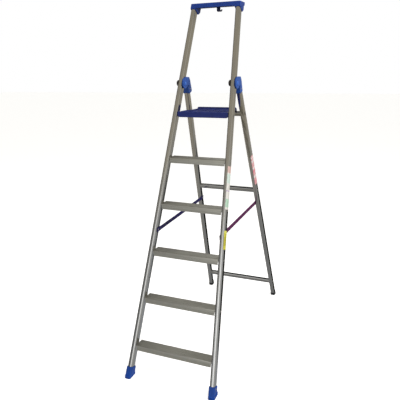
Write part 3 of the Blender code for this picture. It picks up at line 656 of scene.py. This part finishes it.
def front_foot(name):
    """Blue shoe with grooves round its sole."""
    node = "front_foot_" + name
    mesh = softened(welded(node), voxel=0.0007, rounds=3, share=0.6)
    low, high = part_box(node)
    centre = (low + high) / 2
    for vertex in mesh.vertices:
        z = vertex.co.z
        groove = sum(max(0.0, 1 - abs(z - level) / GROOVE_HALF_WIDTH) for level in SOLE_GROOVES)
        if groove and z < GROOVED_HEIGHT:
            inward = Vector((centre.x - vertex.co.x, low.y + SOLE_MIDDLE - vertex.co.y, 0))
            vertex.co += inward.normalized() * GROOVE_DEPTH * groove
    put(node + "_shoe", mesh, M["shoe"], "front_frame", "blue_plastic", node, smooth=60)


def rear_foot(name):
    node = "rear_foot_" + name
    put(node + "_plug", edged(node, PLUG_EDGE), M["plug"], "rear_frame", "black_rubber", node)


top_cap()
for name in SIDES:
    hinge_body(name)
    front_foot(name)
    rear_foot(name)


# Platform

# Rim above the deck and radius of the lower corners; then the ribs' rows, lengths and waves
RIM_HEIGHT = 0.010
APRON_RADIUS = 0.012
RIB_ROWS = 15
RIB_START = 0.016
RIB_STEP = 0.0132
WIDE_DEPTH = 0.108
RIB_HALF_WIDE = 0.131
RIB_HALF_NARROW = 0.112
RIB_SWING = 0.0040
RIB_WAVE = 0.052
RIB_SECTION = ((-0.0024, -0.0008), (-0.0014, 0.0013), (0.0014, 0.0013), (0.0024, -0.0008))


def platform():
    """Deck moulding: rounded lower corners, and pale grey snaking ribs with rubbed patches on its top.
    """
    low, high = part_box("platform")
    mesh = softened(welded("platform"), voxel=0.0012, rounds=3, share=0.16)
    for vertex in mesh.vertices:
        co = vertex.co
        across = abs(co.x) - (high.x - APRON_RADIUS)
        down = low.z + APRON_RADIUS - co.z
        if across > 0 and down > 0:
            reach = max(across, down) / math.hypot(across, down)
            co.x = math.copysign(high.x - APRON_RADIUS + across * reach, co.x)
            co.z = low.z + APRON_RADIUS - down * reach
    shape = bmesh.new()
    shape.from_mesh(mesh)
    for row in range(RIB_ROWS):
        y0 = low.y + RIB_START + row * RIB_STEP
        wide = RIB_HALF_WIDE if y0 < low.y + WIDE_DEPTH else RIB_HALF_NARROW
        wave(shape, y0, wide, high.z - RIM_HEIGHT)
    put("platform_deck_moulding", to_mesh(shape), [M["deck"], M["grip"]], "platform_deck",
        "navy_plastic", "platform")


def wave(shape, y0, wide, deck):
    """One anti-slip rib that snakes across the deck."""
    steps = 72
    verts, faces = [], []
    for step in range(steps + 1):
        x = wide * (2 * step / steps - 1)
        swing = RIB_SWING * math.sin(2 * math.pi * x / RIB_WAVE)
        taper = min(1.0, (steps - abs(2 * step - steps)) / 4 + 0.15)
        for dy, dz in RIB_SECTION:
            verts.append((x, y0 + swing + dy * (0.6 + 0.4 * taper), deck + dz * taper))
    for step in range(steps):
        a, b = 4 * step, 4 * (step + 1)
        faces += [(a + k, a + (k + 1) % 4, b + (k + 1) % 4, b + k) for k in range(4)]
    faces += [(3, 2, 1, 0), tuple(4 * steps + k for k in range(4))]
    add_mesh(shape, verts, faces, slot=1)


platform()


# Straps

# Half width and half thickness; where each folded end lies along the strap; seams and stitches
STRAP_HALF = 0.0120
STRAP_THICK = 0.00060
LAP = 0.034
LAP_OFFSET = 0.00072
TAIL = 0.011
LAP_STEP = 0.004
TAIL_STEP = 0.005
MERGE_START = 0.033
BODY_START = 0.055
BODY_STEPS = 60
ANCHOR_SEAT = 0.0025
SEAM_FACE = 0.00128
SEAM_START = 0.0085
SEAM_END = 0.0300
SEAM_HALF = 0.0095
STITCH_PITCH = 0.0031
STITCH_LENGTH = 0.0012
STITCH_RADIUS = 0.00026


def ribbon_path(length):
    """Strap's centreline seen from its edge, as (along, off the member): ends folded back."""
    fold = [(-TAIL - LAP_OFFSET * math.sin(math.pi * k / 6), LAP_OFFSET * math.cos(math.pi * k / 6))
            for k in range(7)]
    laps = int((LAP + TAIL) / LAP_STEP)
    start = [(LAP - LAP_STEP * k, LAP_OFFSET) for k in range(laps)] + fold
    start += [(-TAIL + TAIL_STEP * k, -LAP_OFFSET) for k in range(1, 9)]
    start += [(MERGE_START + LAP_STEP * k, -LAP_OFFSET * (1 - k / 4)) for k in range(1, 5)]
    body = [(BODY_START + (length - 2 * BODY_START) * k / BODY_STEPS, 0.0)
            for k in range(BODY_STEPS + 1)]
    end = [(length - s, n) for s, n in reversed(start)]
    return start + body + end


def strap(name, side):
    """Webbing between its two anchors, with stitched laps."""
    front, _, _ = head_frame("strap_anchor_front_" + name)
    rear, _, _ = head_frame("strap_anchor_rear_" + name)
    inward = Vector((-side, 0, 0))
    a = front.translation - inward * ANCHOR_SEAT
    b = rear.translation - inward * ANCHOR_SEAT
    along = (b - a).normalized()
    normal = Vector((-side * math.cos(SPLAY), 0, -math.sin(SPLAY)))
    normal = (normal - along * normal.dot(along)).normalized()
    width = normal.cross(along)
    length = (b - a).length
    path = ribbon_path(length)
    half, thick = STRAP_HALF, STRAP_THICK
    section = [(-half, 0), (-half + 0.0004, 0.8 * thick), (-half + 0.0012, thick),
               (0, 0.94 * thick), (half - 0.0012, thick), (half - 0.0004, 0.8 * thick),
               (half, 0), (half - 0.0004, -0.8 * thick), (half - 0.0012, -thick),
               (0, -0.94 * thick), (-half + 0.0012, -thick), (-half + 0.0004, -0.8 * thick)]
    shape = bmesh.new()
    cloth = shape.loops.layers.uv.new("cloth")
    rings, places, run = [], [], 0.0
    for i, (s, n) in enumerate(path):
        before, after = path[max(i - 1, 0)], path[min(i + 1, len(path) - 1)]
        direction = Vector((after[0] - before[0], after[1] - before[1])).normalized()
        run += math.dist(path[i], path[i - 1]) if i else 0.0
        ring = []
        for u, t in section:
            ds, dn = s - direction.y * t, n + direction.x * t
            ring.append(shape.verts.new(a + along * ds + normal * dn + width * u))
        rings.append(ring)
        places.append(run)
    count = len(section)
    girth = [0.0]
    for k in range(count):
        girth.append(girth[-1] + math.dist(section[k], section[(k + 1) % count]))
    for i in range(len(rings) - 1):
        for k in range(count):
            after = (k + 1) % count
            face = shape.faces.new((rings[i][k], rings[i][after], rings[i + 1][after],
                                    rings[i + 1][k]))
            for loop, point in zip(face.loops, ((places[i], girth[k]), (places[i], girth[k + 1]),
                                                (places[i + 1], girth[k + 1]),
                                                (places[i + 1], girth[k]))):
                loop[cloth].uv = point
    shape.faces.new(list(reversed(rings[0])))
    shape.faces.new(rings[-1])
    turn = Matrix((along, width, normal)).transposed().to_4x4()
    turn.translation = a
    for end in (0, 1):
        for spot, heading in stitches():
            for face in (1, -1):
                here = Vector((length - spot[0] if end else spot[0], spot[1], face * SEAM_FACE))
                lay = Matrix.Translation(here) @ Matrix.Rotation(heading, 4, "Z")
                add_stitch(shape, turn @ lay)
    bmesh.ops.recalc_face_normals(shape, faces=shape.faces)
    piece = put("strap_%s_webbing" % name, to_mesh(shape), [M["strap_" + name], M["thread"]], None,
                "strap_webbing", "strap_" + name)
    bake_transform(piece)


def stitches():
    """Places and headings of a boxed, crossed seam over a lapped end."""
    x0, x1, y = SEAM_START, SEAM_END, SEAM_HALF
    lines = [((x0, -y), (x1, -y)), ((x0, y), (x1, y)), ((x0, -y), (x0, y)), ((x1, -y), (x1, y)),
             ((x0, -y), (x1, y)), ((x0, y), (x1, -y))]
    for (ax, ay), (bx, by) in lines:
        count = max(3, round(math.dist((ax, ay), (bx, by)) / STITCH_PITCH))
        for k in range(count):
            share = (k + 0.5) / count
            yield (ax + (bx - ax) * share, ay + (by - ay) * share), math.atan2(by - ay, bx - ax)


def add_stitch(shape, matrix):
    """One thread stitch: a slim six-sided lens that dips into the cloth at both ends."""
    sides, length, radius = 6, STITCH_LENGTH, STITCH_RADIUS
    verts = [(-length, 0, -radius), (length, 0, -radius)]
    for x in (-0.5 * length, 0.5 * length):
        for k in range(sides):
            angle = 2 * math.pi * k / sides
            verts.append((x, radius * math.cos(angle), radius * math.sin(angle)))
    faces = []
    for k in range(sides):
        a, b = 2 + k, 2 + (k + 1) % sides
        faces += [(0, b, a), (a, b, b + sides, a + sides), (1, a + sides, b + sides)]
    add_mesh(shape, verts, faces, matrix, 1)


for name, side in SIDES.items():
    strap(name, side)


# Labels

FILM_THICK = 0.00025
FILM_CORNER = 0.0022
FILM_ROWS = 24
FILM_SPANS = 6


def film(node, turn, material, slot, size, arc):
    """Printed film with round corners that carries on through an arc of its tube's front corner."""
    back = turn.inverted()
    points = [back @ v.co for v in NODES[node].data.vertices]
    low = Vector(map(min, *points))
    high = Vector(map(max, *points))
    out, rear_edge = low.x, high.y
    half_w, half_d, corner = size
    centre = Vector((half_w - corner, -half_d + corner))
    reach = corner + out - half_w
    section = [(out, rear_edge + (centre.y - rear_edge) * k / FILM_SPANS)
               for k in range(FILM_SPANS + 1)]
    for k in range(1, FILM_SPANS + 1):
        angle = math.radians(-arc * k / FILM_SPANS)
        section.append((centre.x + reach * math.cos(angle), centre.y + reach * math.sin(angle)))
    lengths = [0.0]
    for k in range(1, len(section)):
        lengths.append(lengths[-1] + math.dist(section[k], section[k - 1]))
    total, r = lengths[-1], FILM_CORNER
    shape = bmesh.new()
    outer, inner = [], []
    for k, (x, y) in enumerate(section):
        before, after = section[max(k - 1, 0)], section[min(k + 1, len(section) - 1)]
        d = Vector((after[0] - before[0], after[1] - before[1])).normalized()
        nx, ny = -d.y, d.x
        if k == 0:
            nx = abs(nx)
        elif nx * x + ny * y < 0:
            nx, ny = -nx, -ny
        lift_x, lift_y = nx * FILM_THICK, ny * FILM_THICK
        edge = min(lengths[k], total - lengths[k])
        trim = r - math.sqrt(max(0.0, r * r - max(0.0, r - edge) ** 2))
        span = high.z - low.z - 2 * trim
        zs = [low.z + trim + span * j / FILM_ROWS for j in range(FILM_ROWS + 1)]
        inner.append([shape.verts.new(turn @ Vector((x, y, z))) for z in zs])
        outer.append([shape.verts.new(turn @ Vector((x + lift_x, y + lift_y, z))) for z in zs])
    last = len(section) - 1
    for k in range(last):
        for j in range(FILM_ROWS):
            shape.faces.new((outer[k][j], outer[k + 1][j], outer[k + 1][j + 1], outer[k][j + 1]))
            shape.faces.new((inner[k][j], inner[k][j + 1], inner[k + 1][j + 1], inner[k + 1][j]))
        for j in (0, FILM_ROWS):
            shape.faces.new((outer[k][j], outer[k + 1][j], inner[k + 1][j], inner[k][j]))
    for k in (0, last):
        for j in range(FILM_ROWS):
            shape.faces.new((outer[k][j], outer[k][j + 1], inner[k][j + 1], inner[k][j]))
    bmesh.ops.recalc_face_normals(shape, faces=shape.faces)
    put(node + "_film", to_mesh(shape), material, NODES[node]["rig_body"], slot, node)


def along_member(turn, z):
    """Distance along a member from its middle, at a world height."""
    return (z - turn.translation.z) / turn.to_3x3().col[2].z


def bands(turn, *pairs):
    """Colour bands given by their lower and upper heights, as distances along a member."""
    return [(along_member(turn, low), along_member(turn, high)) for low, high in pairs]


STILE, LEG = STILES["right"], LEGS["right"]
# Each film's paper, the heights of its bands in the world, and their inks
SIDE_FILM = printed("film_side", STILE, (0.78, 0.76, 0.72),
                    bands(STILE, (1.040, 1.075), (0.990, 1.034), (0.951, 0.956), (0.876, 0.915)),
                    [(0.66, 0.46, 0.42), (0.62, 0.74, 0.68), (0.52, 0.42, 0.60), (0.44, 0.64, 0.50)])
LOW_FILM = printed("film_low", STILE, (0.66, 0.62, 0.05),
                   bands(STILE, (0.752, 0.770), (0.694, 0.738)),
                   [(0.78, 0.76, 0.12), (0.50, 0.46, 0.035)])
REAR_FILM = printed("film_rear", LEG, (0.80, 0.42, 0.44),
                    bands(LEG, (1.052, 1.060), (1.026, 1.040), (0.986, 0.994), (0.962, 0.980),
                          (0.930, 0.944), (0.896, 0.918)),
                    [(0.86, 0.76, 0.76), (0.84, 0.72, 0.72), (0.86, 0.80, 0.80),
                     (0.76, 0.26, 0.30), (0.86, 0.78, 0.78), (0.76, 0.34, 0.37)])
STILE_SECTION = (STILE_W / 2, STILE_D / 2, STILE_R)
LEG_SECTION = (LEG_W / 2, LEG_D / 2, LEG_R)
film("label_side", STILE, SIDE_FILM, "label_pale", STILE_SECTION, 75)
film("label_low", STILE, LOW_FILM, "label_yellow", STILE_SECTION, 48)
film("label_rear", LEG, REAR_FILM, "label_red", LEG_SECTION, 85)


# Studio

# Each lobe's bearing and height, inner and outer radius in degrees, and its colour;
# later lobes cover earlier ones
LOBES = (
    (0, 90, 0, 1, (0.37, 0.355, 0.315)),
    (0, 90, 10, 34, (0.80, 0.80, 0.78)),
    (0, -90, 24, 44, (0.26, 0.26, 0.26)),
    (-155, -20, 12, 26, (0.42, 0.42, 0.41)),
    (-138, 2, 12, 26, (0.16, 0.16, 0.16)),
    (-180, 8, 9, 24, (1.5, 1.5, 1.48)),
    (108, 4, 16, 36, (0.62, 0.62, 0.62)),
    (-72, 4, 30, 52, (0.10, 0.10, 0.10)),
    (-24, 38, 8, 24, (0.62, 0.62, 0.60)),
    (-24, -10, 8, 18, (0.03, 0.03, 0.035)),
    (25, -26, 8, 22, (0.38, 0.39, 0.40)),
    (-4, 60, 20, 23, (0.006, 0.006, 0.006)),
    (18.6, -21, 9, 12, (0.006, 0.006, 0.006)),
)


def add_world():
    """White cyclorama for the eye; for light and reflections a soft room of lobes."""
    world = bpy.data.worlds.new("studio")
    bpy.context.scene.world = world
    world.use_nodes = True
    tree = world.node_tree
    tree.nodes.clear()

    def add(kind, inputs=(), output=0, **settings):
        node = tree.nodes.new("ShaderNode" + kind)
        for key, value in settings.items():
            setattr(node, key, value)
        for key, value in dict(inputs).items():
            if isinstance(value, bpy.types.NodeSocket):
                tree.links.new(value, node.inputs[key])
            else:
                node.inputs[key].default_value = value
        return node.outputs[output]

    way = add("TexCoord", output="Generated")
    colour = None
    for turn, rise, inner, outer, tone in LOBES:
        turn, rise = math.radians(turn), math.radians(rise)
        aim = Vector((math.sin(turn) * math.cos(rise), math.cos(turn) * math.cos(rise),
                      math.sin(rise)))
        dot = add("VectorMath", {0: way, 1: aim}, "Value", operation="DOT_PRODUCT")
        share = add("MapRange", {"Value": dot, "From Min": math.cos(math.radians(outer)),
                                 "From Max": math.cos(math.radians(inner))},
                    interpolation_type="SMOOTHSTEP")
        if colour is None:
            colour = add("RGB")
            colour.default_value = (*tone, 1.0)
        else:
            mix = tree.nodes.new("ShaderNodeMix")
            mix.data_type = "RGBA"
            tree.links.new(share, mix.inputs[0])
            tree.links.new(colour, mix.inputs[6])
            mix.inputs[7].default_value = (*tone, 1.0)
            colour = mix.outputs[2]
    lit = add("Background", {"Color": colour, "Strength": 1.0})
    seen = add("Background", {"Color": (1.0, 1.0, 1.0, 1.0), "Strength": 1.0})
    camera = add("LightPath", output="Is Camera Ray")
    both = add("MixShader", {0: camera, 1: lit, 2: seen})
    out = tree.nodes.new("ShaderNodeOutputWorld")
    tree.links.new(both, out.inputs["Surface"])


add_world()

FLOOR_SIZE = 60.0
FLOOR_GLOW = 0.62
FLOOR_TONE = (0.5, 0.5, 0.5)

bpy.ops.mesh.primitive_plane_add(size=FLOOR_SIZE)
floor = bpy.context.object
floor.name = "floor"
paper = Graph("floor_paper", roughness=0.9, **{"Specular IOR Level": 0.0})
mottle = paper.noise(paper.place(), 3.0, 3.0)
eye = paper.add("LightPath", output="Is Camera Ray")
pale = paper.mix(mottle, (0.93, 0.93, 0.93), (0.95, 0.95, 0.95))
paper.set(paper.shader, {"Emission Color": (1.0, 1.0, 1.0, 1.0),
                         "Emission Strength": paper.math("MULTIPLY", eye, FLOOR_GLOW)})
floor.data.materials.append(paper.finish(paper.mix(eye, FLOOR_TONE, pale)))
floor.visible_glossy = False


def softbox(name, location, aim, size, power, tone):
    """Area light that neither the camera nor a reflection sees."""
    data = bpy.data.lights.new(name, "AREA")
    data.shape = "RECTANGLE"
    data.size, data.size_y = size
    data.energy = power
    data.color = tone
    lamp = bpy.data.objects.new(name, data)
    lamp.location = location
    lamp.rotation_euler = (Vector(aim) - Vector(location)).to_track_quat("-Z", "Y").to_euler()
    lamp.visible_camera = False
    lamp.visible_glossy = False
    bpy.context.scene.collection.objects.link(lamp)


softbox("key", (3.4, -0.9, 2.6), (0, 0, 1.1), (1.6, 1.6), 95.0, (1.0, 0.99, 0.97))
softbox("fill", (-2.4, -2.8, 1.9), (0, 0, 0.9), (2.2, 2.2), 14.0, (0.98, 0.99, 1.0))
softbox("overhead", (0.0, 0.4, 4.2), (0, 0, 0.0), (3.5, 3.5), 40.0, (1.0, 1.0, 1.0))


# Camera

CAMERA_PLACE = (0.9624, -2.4675, 1.5477)
CAMERA_YAW = 22.668
CAMERA_PITCH = -15.173
CAMERA_ROLL = -0.819
CAMERA_LENS = 42.9524
SENSOR_WIDTH = 36.0


def add_camera():
    data = bpy.data.cameras.new("camera")
    data.lens = CAMERA_LENS
    data.sensor_width = SENSOR_WIDTH
    data.clip_end = 100.0
    camera = bpy.data.objects.new("camera", data)
    yaw, pitch, roll = (math.radians(a) for a in (CAMERA_YAW, CAMERA_PITCH, CAMERA_ROLL))
    forward = Vector((-math.sin(yaw) * math.cos(pitch), math.cos(yaw) * math.cos(pitch),
                      math.sin(pitch)))
    right = Vector((math.cos(yaw), math.sin(yaw), 0))
    up = right.cross(forward)
    turned_right = right * math.cos(roll) + up * math.sin(roll)
    turned_up = up * math.cos(roll) - right * math.sin(roll)
    matrix = Matrix((turned_right, turned_up, -forward)).transposed().to_4x4()
    matrix.translation = Vector(CAMERA_PLACE)
    camera.matrix_world = matrix
    bpy.context.scene.collection.objects.link(camera)
    bpy.context.scene.camera = camera


add_camera()
bpy.context.scene.view_settings.view_transform = "Standard"
